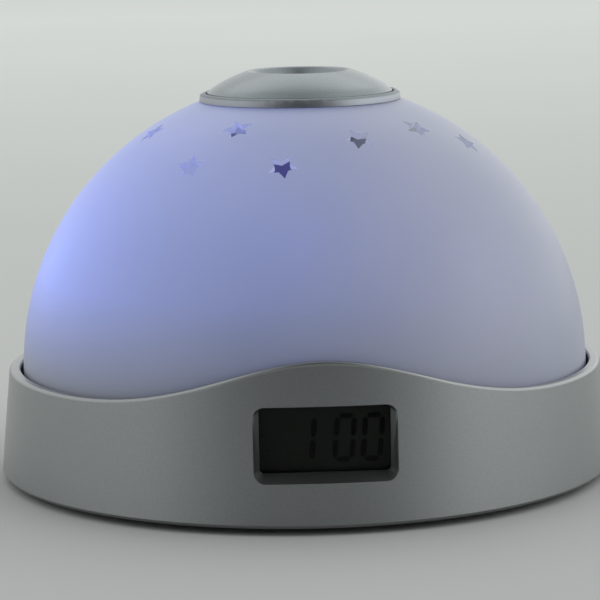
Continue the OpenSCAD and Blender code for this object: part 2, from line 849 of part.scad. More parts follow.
module crystal_can() {
  color("silver") to_front() translate([can_pos[0], view_z + can_pos[1], main_back - can_r])
    rotate([0, 90, 0]) cylinder(r = can_r, h = can_l, center = true);
}

module capacitor() {
  color("midnightblue") to_front()
    translate([capacitor_pos[0], view_z + capacitor_pos[1], main_back - capacitor_h])
      cylinder(r = capacitor_r, h = capacitor_h);
}

// rear keys
module key_board() {
  color("seagreen") to_rear() translate([-key_board_w / 2, key_board_low, key_board_out - board_t])
    cube([key_board_w, key_board_high - key_board_low, board_t]);
}

module key_switches() {
  color("dimgray") to_rear() for (i = [0:key_n - 1]) translate([key_x(i), key_z, key_board_out])
    tact_switch();
}

module key(i) {
  color("darkgray") to_rear() translate([key_x(i), key_z, 0]) {
    translate([0, 0, stub_end]) cylinder(r = stub_r, h = flange_y(key_x(i)) - stub_end);
    translate([0, 0, flange_y(key_x(i)) - flange_t]) linear_extrude(flange_t) stadium(flange_w, flange_h);
    translate([0, 0, flange_y(key_x(i)) - flange_t])
      linear_extrude(key_face(key_x(i)) - flange_y(key_x(i)) + flange_t) stadium(key_w, key_h);
  }
}

module mode_key() {
  key(0);
}

module set_key() {
  key(1);
}

module up_key() {
  key(2);
}

module down_key() {
  key(3);
}

// bottom cover with battery tray
module tray_block(l, w, z_low, z_high) {
  translate([0, tray_y, z_low]) slab(l, w, z_high - z_low);
}

module bottom_cover() {
  color("dimgray") difference() {
    union() {
      translate([0, 0, cover_z]) cylinder(r = cover_r, h = cover_t);
      tray_block(tray_l + 2 * tray_wall, tray_w + 2 * tray_wall, cover_z, roof_top);
      for (x = [-1, 1]) translate([x * light_post_x, 0, roof_top])
        cylinder(r = light_post_r, h = post_h);
      translate([0, speaker_y, cover_z])
        ring(speaker_r + loose_fit + fence_t, speaker_r + loose_fit, cover_t + fence_h);
      for (x = [-1, 1]) translate([x * key_board_w / 2, key_board_out - board_t / 2, cover_z])
        slab(key_post[0], key_post[1], cover_t + key_post[2]);
    }
    tray_block(tray_l, tray_w, cover_z, tray_in_top);
    for (s = [-1, 1]) translate(tab_place(s)) translate([0, 0, tray_in_top - overcut])
      slab(contact_t + 2 * press_gap, tab_w + 2 * press_gap, roof_top - tray_in_top + 2 * overcut);
    tray_block(tray_l + 2 * ledge, tray_w + 2 * ledge, 0, cover_top);
    translate([hinge_x, tray_y, hinge_z]) rotate([90, 0, 0])
      cylinder(r = pin_r + pin_fit, h = door_w + 2 * (pin_l + loose_fit), center = true);
    translate([-tray_l / 2 - ledge, tray_y, cover_z - overcut])
      cylinder(r = thumb_r, h = overcut + cover_t / 2);
    around(foot_ring, foot_angles) translate([0, 0, cover_z - overcut])
      cylinder(d = foot_d + 2 * press_gap, h = overcut + foot_inset);
    around(boss_ring, boss_angles) translate([0, 0, cover_z - overcut]) {
      cylinder(r = screw_r + loose_fit, h = cover_t + 2 * overcut);
      cylinder(r = head_r + loose_fit, h = overcut + head_h);
    }
    for (x = [-1, 1]) translate([x * light_post_x, 0, roof_top - overcut / 2])
      cylinder(r = screw_r + pin_fit, h = post_h + overcut);
    for (i = [-2:2], k = [-2:2]) if (abs(i + k) < 3)
      translate([(i + k / 2) * grille_pitch, speaker_y + k * grille_pitch * sin(60), cover_z - overcut])
        cylinder(r = grille_r, h = cover_t + 2 * overcut);
    translate([slide_pos[0], slide_pos[1], cover_z - overcut])
      slab(knob_l + slide_travel + 2 * loose_fit, knob_w + 2 * loose_fit, cover_t + 2 * overcut);
    to_rear() translate([-key_board_w / 2 - press_gap, key_board_low - press_gap,
      key_board_out - board_t - press_gap])
      cube([key_board_w + 2 * press_gap, shelf_top, board_t + 2 * press_gap]);
  }
}

module rubber_feet() {
  color("black") around(foot_ring, foot_angles) cylinder(d = foot_d, h = cover_z + foot_inset);
}

module case_screws() {
  color("gainsboro") around(boss_ring, boss_angles) translate([0, 0, cover_z + head_h])
    pan_screw(cover_t + pilot_depth - 2);
}

module battery_door() {
  color("gray") translate([0, tray_y, 0]) {
    difference() {
      union() {
        translate([-door_t / 4, 0, cover_z]) slab(door_l - door_t / 2, door_w, door_t);
        translate([hinge_x, 0, hinge_z]) rotate([90, 0, 0])
          cylinder(r = door_t / 2, h = door_w, center = true);
      }
      for (s = [-1, 1]) translate([-door_l / 2 + catch_in, s * catch_y, cover_z - overcut])
        slab(catch_l, catch_slot, door_t + 2 * overcut);
    }
    translate([hinge_x, 0, hinge_z]) rotate([90, 0, 0])
      cylinder(r = pin_r, h = door_w + 2 * pin_l, center = true);
  }
}

// cells and contacts; neighbouring cells lie head to tail
function cell_way(i) = i % 2 == 0 ? 1 : -1;

module each_cell() {
  for (i = [0:cell_n - 1]) translate([0, tray_y + (i - (cell_n - 1) / 2) * cell_pitch, cell_z])
    rotate([0, 90 * cell_way(i), 0]) children();
}

module battery_cells() {
  color("goldenrod") each_cell() translate([0, 0, tray_l / 2 - contact_t - cell_l]) {
    cylinder(r = cell_r, h = cell_l - nub_h);
    cylinder(r = nub_r, h = cell_l);
  }
}

// the two end contacts of the row stand up through the tray roof as solder tabs
function tab_place(s) = [-s * (tray_l - contact_t) / 2, tray_y + s * (cell_n - 1) / 2 * cell_pitch, 0];

module battery_contacts() {
  color("gainsboro") {
    each_cell() for (s = [-1, 1]) translate([0, 0, s * (tray_l - contact_t) / 2 - contact_t / 2])
      slab(contact_w, contact_h, contact_t);
    for (s = [-1, 1]) translate(tab_place(s)) translate([0, 0, cell_z])
      slab(contact_t, tab_w, roof_top + tab_h - cell_z);
  }
}

module battery_springs() {
  color("silver") each_cell() translate([0, 0, -tray_l / 2 + contact_t + (cell_wire + press_gap) / 2])
    wire(cell_path, cell_wire / 2, wire_sides, [0, 0, 1]);
}

// speaker
module speaker_frame() {
  color("gray") translate([0, speaker_y, cover_top]) rotate_extrude() polygon([
    [speaker_r, 0], [speaker_r, basket_rim_h], [speaker_r - basket_step, basket_rim_h],
    [magnet_r + basket_lap, speaker_h], [0, speaker_h], [0, speaker_h - basket_t],
    [magnet_r + basket_lap - basket_t / 2, speaker_h - basket_t], [speaker_r - basket_rim, basket_t],
    [speaker_r - basket_rim, 0]]);
  color("gray") translate([0, terminal_y, cover_top + terminal_low])
    slab(terminal_w, terminal_d, terminal_h - terminal_low);
}

module speaker_cone() {
  color("black") translate([0, speaker_y, cover_top]) rotate_extrude() polygon([
    [cone_r, cone_low], [cone_r, cone_low + cone_t], [cone_coil_r, cone_h], [0, cone_h - cone_dust],
    [0, cone_h - cone_dust - cone_t], [cone_coil_r, cone_h - cone_t], [cone_r - 2 * cone_low, cone_low]]);
}

module speaker_magnet() {
  color("darkslategray") translate([0, speaker_y, cover_top + speaker_h])
    cylinder(r = magnet_r, h = magnet_h);
}

// leads
module switch_leads() {
  color("khaki") for (s = [-1, 1]) lead([
    [s * lead_gap / 2, switch_lead_y, switch_low],
    [s * lead_gap / 2, switch_lead_y, dome_z + switch_lead_swing[0]],
    [s * lead_gap / 2, light_lead_y, dome_z + switch_lead_swing[1]],
    [s * lead_gap / 2, light_lead_y, light_z + board_t]]);
}

module light_leads() {
  color("khaki") for (s = [0, 1]) lead([
    [light_lead_x + s * lead_gap, -light_l / 2, light_edge_z],
    [light_lead_x + s * lead_gap, -light_l / 2 - light_lead_run, light_edge_z],
    [light_lead_x + s * lead_gap, -main_back + light_lead_run, light_lead_z - light_lead_dip],
    [light_lead_x + s * lead_gap, -main_back, light_lead_z]]);
}

module battery_leads() {
  color("firebrick") for (s = [-1, 1]) let (tab = tab_place(s) + [s * (contact_t / 2), 0, light_edge_z])
    lead([tab, tab + [s * battery_lead_run, 0, 0],
      [-s * (light_w / 2 + battery_lead_run), tab[1] / 2, light_edge_z],
      [-s * light_w / 2, tab[1] / 2, light_edge_z]], [0, 0, 1]);
}

module speaker_leads() {
  color("firebrick") for (s = [-1, 1]) lead([
    [s * lead_gap / 2, terminal_y, terminal_z],
    [s * lead_gap / 2, terminal_y, terminal_z + speaker_lead_run],
    [s * lead_gap / 2, -main_back + speaker_lead_run, speaker_lead_z],
    [s * lead_gap / 2, -main_back, speaker_lead_z]]);
}

module key_leads() {
  color("khaki") for (s = [0:2]) lead([
    [key_lead_x + s * lead_gap, key_board_out - board_t, key_z + key_lead_up],
    [key_lead_x + s * lead_gap, key_board_out - board_t - key_lead_run, key_z + key_lead_up],
    [key_lead_x + s * lead_gap, light_l / 2 + key_lead_swing[0], light_edge_z + key_lead_swing[1]],
    [key_lead_x + s * lead_gap, light_l / 2, light_edge_z]]);
}

// light switch
module slide_case() {
  color("silver") translate([slide_pos[0], slide_pos[1], cover_top]) difference() {
    slab(slide_case_l, slide_case_w, slide_case_h);
    translate([0, 0, -overcut])
      slab(slide_case_l - 2 * slide_wall, slide_case_w - 2 * slide_wall,
        slide_case_h - slide_wall + overcut);
  }
}

module slide_knob() {
  color("black") translate([slide_pos[0] - slide_travel / 2, slide_pos[1], 0]) {
    translate([0, 0, cover_z - knob_proud])
      slab(knob_l, knob_w, cover_top + knob_lap - cover_z + knob_proud);
    translate([0, 0, cover_top + loose_fit])
      slab(knob_l + 2 * knob_lap, slide_case_w - 2 * slide_wall - 2 * loose_fit, knob_plate);
  }
}

base_skirt();
bottom_cover();
rubber_feet();
case_screws();
dome_diffuser();
dome_screws();
reflector_plate();
light_board();
light_board_screws();
red_led();
green_led();
blue_led();
trim_ring();
retaining_ring();
top_button();
projection_lens();
button_spring();
switch_board();
cap_switches();
lcd_window();
lcd_panel();
lcd_frame();
zebra_strips();
main_board();
display_screws();
clock_chip();
crystal_can();
capacitor();
key_board();
key_switches();
mode_key();
set_key();
up_key();
down_key();
speaker_frame();
speaker_cone();
speaker_magnet();
battery_cells();
battery_contacts();
battery_springs();
battery_door();
switch_leads();
light_leads();
battery_leads();
speaker_leads();
key_leads();
slide_case();
slide_knob();
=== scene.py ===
import json
import math

import bmesh
import bpy
from mathutils import Matrix, Vector


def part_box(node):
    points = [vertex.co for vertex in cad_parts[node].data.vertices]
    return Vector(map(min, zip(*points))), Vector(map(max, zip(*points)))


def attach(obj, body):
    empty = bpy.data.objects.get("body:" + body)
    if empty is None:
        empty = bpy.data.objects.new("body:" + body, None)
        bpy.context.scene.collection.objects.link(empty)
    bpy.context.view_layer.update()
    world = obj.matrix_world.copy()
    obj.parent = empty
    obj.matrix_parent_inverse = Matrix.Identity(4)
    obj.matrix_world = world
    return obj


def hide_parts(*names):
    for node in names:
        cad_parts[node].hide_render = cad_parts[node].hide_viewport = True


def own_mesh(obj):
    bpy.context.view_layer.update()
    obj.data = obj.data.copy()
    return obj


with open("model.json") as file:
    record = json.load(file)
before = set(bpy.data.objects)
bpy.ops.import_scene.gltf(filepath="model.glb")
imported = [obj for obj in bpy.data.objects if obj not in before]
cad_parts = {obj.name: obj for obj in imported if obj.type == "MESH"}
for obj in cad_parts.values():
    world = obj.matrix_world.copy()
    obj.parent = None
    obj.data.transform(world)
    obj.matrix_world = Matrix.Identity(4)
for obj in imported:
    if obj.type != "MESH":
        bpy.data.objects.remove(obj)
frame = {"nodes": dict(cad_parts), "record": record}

nodes = frame["nodes"]
scene = bpy.context.scene
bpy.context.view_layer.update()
MM = 0.001

# ---- camera: a long lens a little left of the middle and slightly above, rolled by one degree
CAMERA_AT = Vector((-31.5, -514.6, 112.1)) * MM
AIM_AT = Vector((0.0, 0.0, 31.2)) * MM
FOCAL_PX = 2790.9
PICTURE_PX = 600
SENSOR_MM = 36.0
ROLL = -0.018
AIM_OFFSET_PX = (3.52, 1.30)
CLIP_START = 10.0 * MM


def add_camera():
    forward = (AIM_AT - CAMERA_AT).normalized()
    right = forward.cross(Vector((0, 0, 1))).normalized()
    down = forward.cross(right)
    across = math.cos(ROLL) * right - math.sin(ROLL) * down
    below = math.sin(ROLL) * right + math.cos(ROLL) * down
    forward -= across * (AIM_OFFSET_PX[0] / FOCAL_PX) + below * (AIM_OFFSET_PX[1] / FOCAL_PX)
    forward.normalize()
    across = (across - forward * across.dot(forward)).normalized()
    up = across.cross(forward)
    data = bpy.data.cameras.new("camera")
    data.sensor_width = SENSOR_MM
    data.lens = FOCAL_PX * SENSOR_MM / PICTURE_PX
    data.clip_start = CLIP_START
    camera = bpy.data.objects.new("camera", data)
    scene.collection.objects.link(camera)
    turn = Matrix((across, up, -forward)).transposed()
    camera.matrix_world = Matrix.Translation(CAMERA_AT) @ turn.to_4x4()
    scene.camera = camera


# ---- node helpers
FULL = (0.0, 1.0)
FALLING = (1.0, 0.0)
LEVEL = (1.0, 1.0, 0.0)
# the colour sockets of a Mix node, which share their names with its other sockets
MIX_A, MIX_B, MIX_RESULT = 6, 7, 2


class Nodes:
    """One shader tree, with short calls that add nodes to it and link them."""

    def __init__(self, tree):
        self.tree = tree
        self.tree.nodes.clear()

    def add(self, kind):
        return self.tree.nodes.new(kind)

    def link(self, a, b):
        self.tree.links.new(a, b)

    def axes(self, vector):
        node = self.add("ShaderNodeSeparateXYZ")
        self.link(vector, node.inputs[0])
        return node.outputs["X"], node.outputs["Y"], node.outputs["Z"]

    def vector(self, kind, a, b=None):
        node = self.add("ShaderNodeVectorMath")
        node.operation = kind
        self.link(a, node.inputs[0])
        if b is not None:
            node.inputs[1].default_value = b
        return node.outputs["Value" if kind in ("DISTANCE", "LENGTH") else "Vector"]

    def math(self, kind, a, b=None):
        node = self.add("ShaderNodeMath")
        node.operation = kind
        for socket, value in zip(node.inputs, (a, b)):
            if value is None:
                continue
            if isinstance(value, (int, float)):
                socket.default_value = value
            else:
                self.link(value, socket)
        return node.outputs[0]

    def span(self, value, edges, ends=FULL, kind="LINEAR"):
        """Run from one end to the other between two edges, and stay there beyond them."""
        node = self.add("ShaderNodeMapRange")
        node.interpolation_type = kind
        keys = ("From Min", "From Max", "To Min", "To Max")
        for key, number in zip(keys, (*edges, *ends)):
            node.inputs[key].default_value = number
        self.link(value, node.inputs["Value"])
        return node.outputs["Result"]


class Material(Nodes):
    """A Principled material that is put together from object-space textures."""

    def __init__(self, name, **values):
        self.data = bpy.data.materials.new(name)
        self.data.use_nodes = True
        super().__init__(self.data.node_tree)
        self.shader = self.add("ShaderNodeBsdfPrincipled")
        self.link(self.shader.outputs[0], self.add("ShaderNodeOutputMaterial").inputs["Surface"])
        self.place = self.add("ShaderNodeTexCoord").outputs["Object"]
        for key, value in values.items():
            self.shader.inputs[key.replace("_", " ")].default_value = value

    def noise(self, scale, detail=2.0, roughness=0.5):
        node = self.add("ShaderNodeTexNoise")
        node.inputs["Scale"].default_value = scale
        node.inputs["Detail"].default_value = detail
        node.inputs["Roughness"].default_value = roughness
        self.link(self.place, node.inputs["Vector"])
        return node.outputs["Fac"]

    def blend(self, factor, a, b, kind="MIX"):
        node = self.add("ShaderNodeMix")
        node.data_type = "RGBA"
        node.blend_type = kind
        self.link(factor, node.inputs["Factor"])
        for socket, colour in ((node.inputs[MIX_A], a), (node.inputs[MIX_B], b)):
            if isinstance(colour, tuple):
                socket.default_value = (*colour, 1.0)
            else:
                self.link(colour, socket)
        return node.outputs[MIX_RESULT]

    def colour(self, socket):
        self.link(socket, self.shader.inputs["Base Color"])

    def rough(self, socket):
        self.link(socket, self.shader.inputs["Roughness"])

    def glow(self, socket):
        self.link(socket, self.shader.inputs["Emission Color"])

    def bump(self, height, strength, distance):
        node = self.add("ShaderNodeBump")
        node.inputs["Strength"].default_value = strength
        node.inputs["Distance"].default_value = distance
        self.link(height, node.inputs["Height"])
        self.link(node.outputs[0], self.shader.inputs["Normal"])


def tinted(colour, gain):
    return tuple(min(1.0, max(0.0, c * gain)) for c in colour)


def about(colour, spread):
    """A colour's darker and lighter shade."""
    return tinted(colour, 1 - spread), tinted(colour, 1 + spread)


# ---- plain finishes
CLOUD_DETAIL = 3.0
CLOUD_SCALE = 0.04
MID_NOISE = (0.35, 0.65)
WIDE_NOISE = (0.3, 0.7)
GLOSS_SPREAD = 0.12
GRAIN_DEPTH = 0.04 * MM


def finish(name, colour, rough, grain, bump=0.1, tone=0.12, metal=0.0, **extra):
    """A plain moulded, plated or painted finish: fine grain in colour, gloss and relief."""
    m = Material(name, Metallic=metal, **extra)
    cloud = m.noise(grain * CLOUD_SCALE, CLOUD_DETAIL)
    fine = m.noise(grain)
    mean = m.math("MULTIPLY", m.math("ADD", cloud, fine), 0.5)
    m.colour(m.blend(m.span(mean, MID_NOISE), *about(colour, tone)))
    m.rough(m.span(fine, WIDE_NOISE, (rough * (1 - GLOSS_SPREAD), rough * (1 + GLOSS_SPREAD))))
    m.bump(fine, bump, GRAIN_DEPTH)
    return m.data


WINDOW_TINT = (0.94, 0.96, 0.95)
WINDOW_CLOUD = 60.0
WINDOW_SPREAD = 0.02
WINDOW_IOR = 1.1


def clear_plastic():
    """Clear sheet that bends light very little, so that little is mirrored in it."""
    m = Material("clear_window", Transmission_Weight=1.0, IOR=WINDOW_IOR, Roughness=0.0)
    m.colour(m.blend(m.span(m.noise(WINDOW_CLOUD), WIDE_NOISE), *about(WINDOW_TINT, WINDOW_SPREAD)))
    return m.data


# ---- silver paint of the skirt and the cap
SKIRT_R = 57.0 * MM
SKIRT_LIFT = 1.2 * MM
SKIRT_SLOPE = math.tan(math.radians(5.7))
CONE_RISE = 30.0 * MM
RECESS_HALF = 12.45 * MM
RECESS_BACK = -50.0 * MM
RECESS_LEVEL = 16.0 * MM
RECESS_REACH = 8.5 * MM
RECESS_DEPTH = (0.1 * MM, 0.4 * MM)
# how dark the painted shade in the display's recess is, as a share of the paint's colour
RECESS_PAINTED_SHADE = 0.4
SKIRT_SILVER = (0.305, 0.318, 0.322)
CAP_SILVER = (0.208, 0.233, 0.246)
FLAKE_DETAIL = 1.0
FLAKE_ROUGHNESS = 0.6
FLAKE_NOISE = (0.32, 0.68)
FLAKE_SPREAD = 0.1
FLAKE_BUMP = 0.12
FLAKE_DEPTH = 0.03 * MM
PAINT_CLOUD = 90.0
PAINT_CLOUD_SHARE = (0.0, 0.1)
PAINT_CLOUD_SHADE = 0.85
PAINT_GLOSS = 0.03


def recess_shade_mask(m):
    """Where to paint shade: one inside the display's recess, which lies behind the cone's face, and
    nothing elsewhere.
    """
    x, y, z = m.axes(m.place)
    reach = m.vector("LENGTH", m.vector("MULTIPLY", m.place, LEVEL))
    face = m.span(z, (SKIRT_LIFT, SKIRT_LIFT + CONE_RISE), (SKIRT_R, SKIRT_R - CONE_RISE * SKIRT_SLOPE))
    behind = m.span(m.math("SUBTRACT", face, reach), RECESS_DEPTH)
    beside = m.math("LESS_THAN", m.math("ABSOLUTE", x), RECESS_HALF)
    front = m.math("LESS_THAN", y, RECESS_BACK)
    height = m.math("ABSOLUTE", m.math("SUBTRACT", z, RECESS_LEVEL))
    level = m.math("LESS_THAN", height, RECESS_REACH)
    return m.math("MULTIPLY", m.math("MULTIPLY", behind, level), m.math("MULTIPLY", beside, front))


def silver_paint(name, colour, rough, flake, recess=False):
    """Metallic paint: satin coat over fine bright flakes, with painted shade in the display's recess.
    """
    m = Material(name, Metallic=0.85, Coat_Weight=0.2, Coat_Roughness=0.2)
    fine = m.noise(flake, FLAKE_DETAIL, FLAKE_ROUGHNESS)
    cloud = m.noise(PAINT_CLOUD, CLOUD_DETAIL)
    speck = m.blend(m.span(fine, FLAKE_NOISE), *about(colour, FLAKE_SPREAD))
    cloudy = m.span(cloud, WIDE_NOISE, PAINT_CLOUD_SHARE)
    shade = m.blend(cloudy, speck, tinted(colour, PAINT_CLOUD_SHADE))
    if recess:
        # painted shade: the paint is darkened inside the display's recess
        shade = m.blend(recess_shade_mask(m), shade, tinted(colour, RECESS_PAINTED_SHADE))
    m.colour(shade)
    m.rough(m.span(fine, WIDE_NOISE, (rough - PAINT_GLOSS, rough + PAINT_GLOSS)))
    m.bump(fine, FLAKE_BUMP, FLAKE_DEPTH)
    return m.data


# ---- frosted dome
DOME_CENTRE = Vector((0.0, 0.0, 19.9)) * MM
MILK = ((0.35, 0.375, 0.475), (0.385, 0.41, 0.51))
MILK_CLOUD = 35.0
MILK_GRAIN = 2600.0
MILK_ROUGH = (0.36, 0.44)
MILK_BUMP = 0.06
MILK_DEPTH = 0.03 * MM
# painted glow on the outside, in place of the light from inside the dome: each soft patch has a place
# and a reach, and its own gain or tone
GLOW_SIDE = (Vector((-46.0, -12.0, 42.0)) * MM, 79.0 * MM)
GLOW_FRONT = (Vector((-4.0, -44.0, 48.0)) * MM, 62.0 * MM)
GLOW_RIGHT = (Vector((30.0, -40.0, 44.0)) * MM, 52.0 * MM)
GLOW_SIDE_GAIN = 0.68
GLOW_FRONT_GAIN = 0.16
GLOW_HEIGHTS = (21.0 * MM, 38.0 * MM)
GLOW_FALL = 2.0
GLOW_BLUE = (0.15, 0.25, 1.0)
GLOW_RIGHT_TONE = (0.07, 0.066, 0.105)
# painted light seen through the stars: glow on the far wall's inside and on the stars' own edges
INSIDE_R = 51.3 * MM
INSIDE_LEFT = (-15.0 * MM, -7.0 * MM)
INSIDE_MIDDLE = (1.0 * MM, 6.0 * MM)
INSIDE_RIGHT = (14.0 * MM, 24.0 * MM)
INSIDE_BLUE = (0.265, 0.305, 0.59)
INSIDE_DARK = (0.05, 0.05, 0.19)
INSIDE_DIM = (0.098, 0.11, 0.152)
INSIDE_GREY = (0.272, 0.288, 0.322)
INSIDE_SHADE = (0.03, 0.03, 0.035)
EDGE_R = 52.4 * MM
EDGE_TURN = (-16.0 * MM, 12.0 * MM)
EDGE_BLUE = (0.178, 0.202, 0.425)
EDGE_GREY = (0.2, 0.21, 0.248)
UNLIT = (0.0, 0.0, 0.0)


def soft_patch(m, place, reach):
    """One at the place, falling to nothing at its reach."""
    near = m.span(m.vector("DISTANCE", m.place, place), (0.0, reach), FALLING)
    return m.math("POWER", near, GLOW_FALL)


def frosted_dome():
    """Milky plastic with painted glow in place of the light inside: blue near the left wall, fading to
    pale grey on the right.
    """
    m = Material("frosted_dome", Specular_IOR_Level=0.4, Emission_Strength=1.0)
    x, _, z = m.axes(m.place)
    out = m.vector("DISTANCE", m.place, DOME_CENTRE)
    inside = m.math("LESS_THAN", out, INSIDE_R)
    wall = m.math("LESS_THAN", out, EDGE_R)
    fine = m.noise(MILK_GRAIN)
    milk = m.blend(m.span(m.noise(MILK_CLOUD, CLOUD_DETAIL), WIDE_NOISE), *MILK)
    # painted shade: the dome's inside is near black, so that its look comes from the painted glow
    m.colour(m.blend(inside, milk, INSIDE_SHADE))
    m.rough(m.span(fine, WIDE_NOISE, MILK_ROUGH))
    m.bump(fine, MILK_BUMP, MILK_DEPTH)

    side = m.math("MULTIPLY", soft_patch(m, *GLOW_SIDE), GLOW_SIDE_GAIN)
    front = m.math("MULTIPLY", soft_patch(m, *GLOW_FRONT), GLOW_FRONT_GAIN)
    lit = m.math("MULTIPLY", m.math("ADD", side, front), m.span(z, GLOW_HEIGHTS))
    blue = m.blend(lit, UNLIT, GLOW_BLUE)
    # painted light: a pale grey glow added at the front right
    outside = m.blend(soft_patch(m, *GLOW_RIGHT), blue, GLOW_RIGHT_TONE, "ADD")

    middle = m.blend(m.span(x, INSIDE_MIDDLE), INSIDE_DARK, INSIDE_DIM)
    left = m.blend(m.span(x, INSIDE_LEFT, FALLING), middle, INSIDE_BLUE)
    hollow = m.blend(m.span(x, INSIDE_RIGHT), left, INSIDE_GREY)
    edge = m.blend(m.span(x, EDGE_TURN), EDGE_BLUE, EDGE_GREY)
    m.glow(m.blend(inside, m.blend(wall, outside, edge), hollow))
    return m.data


# ---- plated ring
RING_BRIGHT = (0.34, 0.36, 0.395)
RING_LIP = 1.5 * MM
RING_BAND_TOP = (1.0 * MM, 1.2 * MM)
RING_GRAIN = 2600.0
RING_ROUGH = (0.41, 0.46)
BRIGHT_SPREAD = 0.03
SATIN_SPREAD = 0.05


def ring_metal():
    """Plated ring: a bright outer face below a satin bevel that matches the cap."""
    m = Material("bright_ring", Metallic=1.0)
    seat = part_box("trim_ring")[1].z - RING_LIP
    satin = m.span(m.axes(m.place)[2], tuple(seat + rise for rise in RING_BAND_TOP))
    fine = m.noise(RING_GRAIN)
    grain = m.span(fine, MID_NOISE)
    bright = m.blend(grain, *about(RING_BRIGHT, BRIGHT_SPREAD))
    dull = m.blend(grain, *about(CAP_SILVER, SATIN_SPREAD))
    m.colour(m.blend(satin, bright, dull))
    m.rough(m.span(fine, WIDE_NOISE, RING_ROUGH))
    return m.data


# ---- finishes by the record's slots
# colour, roughness and grain; then, where they aren't the usual ones, bump, spread of tone and metal
PLAIN_FINISHES = {
    "grey_plastic": ((0.10, 0.10, 0.103), 0.52, 2200.0, 0.25),
    "black_rubber": ((0.018, 0.018, 0.018), 0.72, 1600.0, 0.3),
    "bright_steel": ((0.62, 0.62, 0.63), 0.26, 1500.0, 0.05, 0.05, 1.0),
    "white_plastic": ((0.74, 0.74, 0.74), 0.5, 2000.0, 0.1, 0.03),
    "green_board": ((0.03, 0.17, 0.085), 0.35, 1200.0, 0.06),
    "red_lamp": ((0.62, 0.05, 0.04), 0.12, 800.0, 0.0, 0.05),
    "green_lamp": ((0.10, 0.55, 0.14), 0.12, 800.0, 0.0, 0.05),
    "blue_lamp": ((0.06, 0.10, 0.85), 0.12, 800.0, 0.0, 0.05),
    "black_plastic": ((0.022, 0.022, 0.023), 0.45, 2000.0, 0.15),
    "black_resin": ((0.012, 0.012, 0.012), 0.2, 500.0, 0.2),
    "bright_can": ((0.6, 0.6, 0.62), 0.25, 1500.0, 0.05, 0.05, 1.0),
    "blue_sleeve": ((0.02, 0.03, 0.12), 0.25, 800.0, 0.05),
    "key_grey": ((0.22, 0.225, 0.225), 0.42, 2400.0, 0.12, 0.08, 0.3),
    "pressed_steel": ((0.16, 0.16, 0.165), 0.4, 1200.0, 0.08, 0.1, 0.6),
    "black_paper": ((0.018, 0.018, 0.018), 0.85, 1100.0, 0.5),
    "dark_magnet": ((0.05, 0.05, 0.053), 0.6, 900.0, 0.3),
    "cell_jacket": ((0.5, 0.33, 0.09), 0.3, 900.0, 0.03, 0.05, 0.6),
    "wire_skin": ((0.6, 0.55, 0.35), 0.45, 1500.0, 0.05),
    "wire_skin_red": ((0.3, 0.02, 0.016), 0.45, 1500.0, 0.05),
}
FINISHES = {
    "silver_paint": silver_paint("silver_paint", SKIRT_SILVER, rough=0.36, flake=7000.0, recess=True),
    "cap_silver": silver_paint("cap_silver", CAP_SILVER, rough=0.29, flake=8000.0),
    "frosted_dome": frosted_dome(),
    "bright_ring": ring_metal(),
    "clear_window": clear_plastic(),
    "smoked_lens": finish("smoked_lens", (0.035, 0.037, 0.04), rough=0.10, grain=700.0, bump=0.0,
                          tone=0.05, Coat_Weight=0.5),
    "lcd_glass": finish("lcd_glass", (0.0105, 0.0125, 0.0108), rough=0.5, grain=900.0, bump=0.0,
                        tone=0.1, Specular_IOR_Level=0.12),
}
FINISHES.update({slot: finish(slot, *row) for slot, row in PLAIN_FINISHES.items()})
# the ring under the dome's hole, with painted glow like the dome round it, and the figures' ink
LIT_KEEPER = finish("lit_keeper", (0.2, 0.22, 0.3), rough=0.5, grain=2000.0, tone=0.05,
                    Emission_Color=(0.15, 0.17, 0.33, 1.0), Emission_Strength=1.0)
DIGIT_INK = finish("digit_ink", (0.0012, 0.0012, 0.0013), rough=0.5, grain=900.0, bump=0.0,
                   tone=0.1, Specular_IOR_Level=0.05)


def dress(obj, material):
    obj.data.materials.clear()
    obj.data.materials.append(material)


for part in frame["record"]["subparts"]:
    dress(nodes[part["node"]], FINISHES[part["material_slot"]])
dress(nodes["retaining_ring"], LIT_KEEPER)


# ---- smooth copies of CAD solids
def new_piece(name, mesh, body, slot, material, *stands_for):
    """Add a piece that rides a body, in place of CAD nodes or beside them; the slot is not used."""
    obj = bpy.data.objects.new(name, mesh)
    scene.collection.objects.link(obj)
    dress(obj, material)
    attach(obj, body)
    if stands_for:
        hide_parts(*stands_for)
    return obj


SAME_POINT = 1e-6
NO_LENGTH = 1e-7
NO_AREA = 1e-13


def clean_copy(name, node):
    """A copy of a CAD mesh with its points joined and without empty faces."""
    bm = bmesh.new()
    bm.from_mesh(nodes[node].data)
    bmesh.ops.remove_doubles(bm, verts=bm.verts, dist=SAME_POINT)
    bmesh.ops.dissolve_degenerate(bm, edges=bm.edges, dist=NO_LENGTH)
    slivers = [face for face in bm.faces if face.calc_area() < NO_AREA]
    longest = [max(face.edges, key=lambda edge: edge.calc_length()) for face in slivers]
    bmesh.ops.dissolve_edges(bm, edges=longest)
    mesh = bpy.data.meshes.new(name)
    bm.to_mesh(mesh)
    bm.free()
    return mesh


def corner_normals(mesh, angle):
    """At each corner, the mean of the faces about it that turn by less than the angle, by area."""
    around = [[] for _ in mesh.vertices]
    for face in mesh.polygons:
        for corner in face.vertices:
            around[corner].append(face)
    least = math.cos(math.radians(angle))
    normals = []
    for face in mesh.polygons:
        for corner in face.vertices:
            total = Vector()
            for other in around[corner]:
                if other.normal.dot(face.normal) > least:
                    total += other.normal * other.area
            normals.append(total.normalized() if total.length > 0 else face.normal.copy())
    return normals


def smooth_piece(name, node, body, slot, angle, reshape=None, retouch=None):
    """A piece that stands for a CAD node, with smooth normals and, where asked, small changes."""
    mesh = clean_copy(name, node)
    if reshape:
        reshape(mesh)
    mesh.shade_smooth()
    normals = corner_normals(mesh, angle)
    if retouch:
        retouch(mesh, normals)
    mesh.normals_split_custom_set(normals)
    return new_piece(name, mesh, body, slot, FINISHES[slot], node)


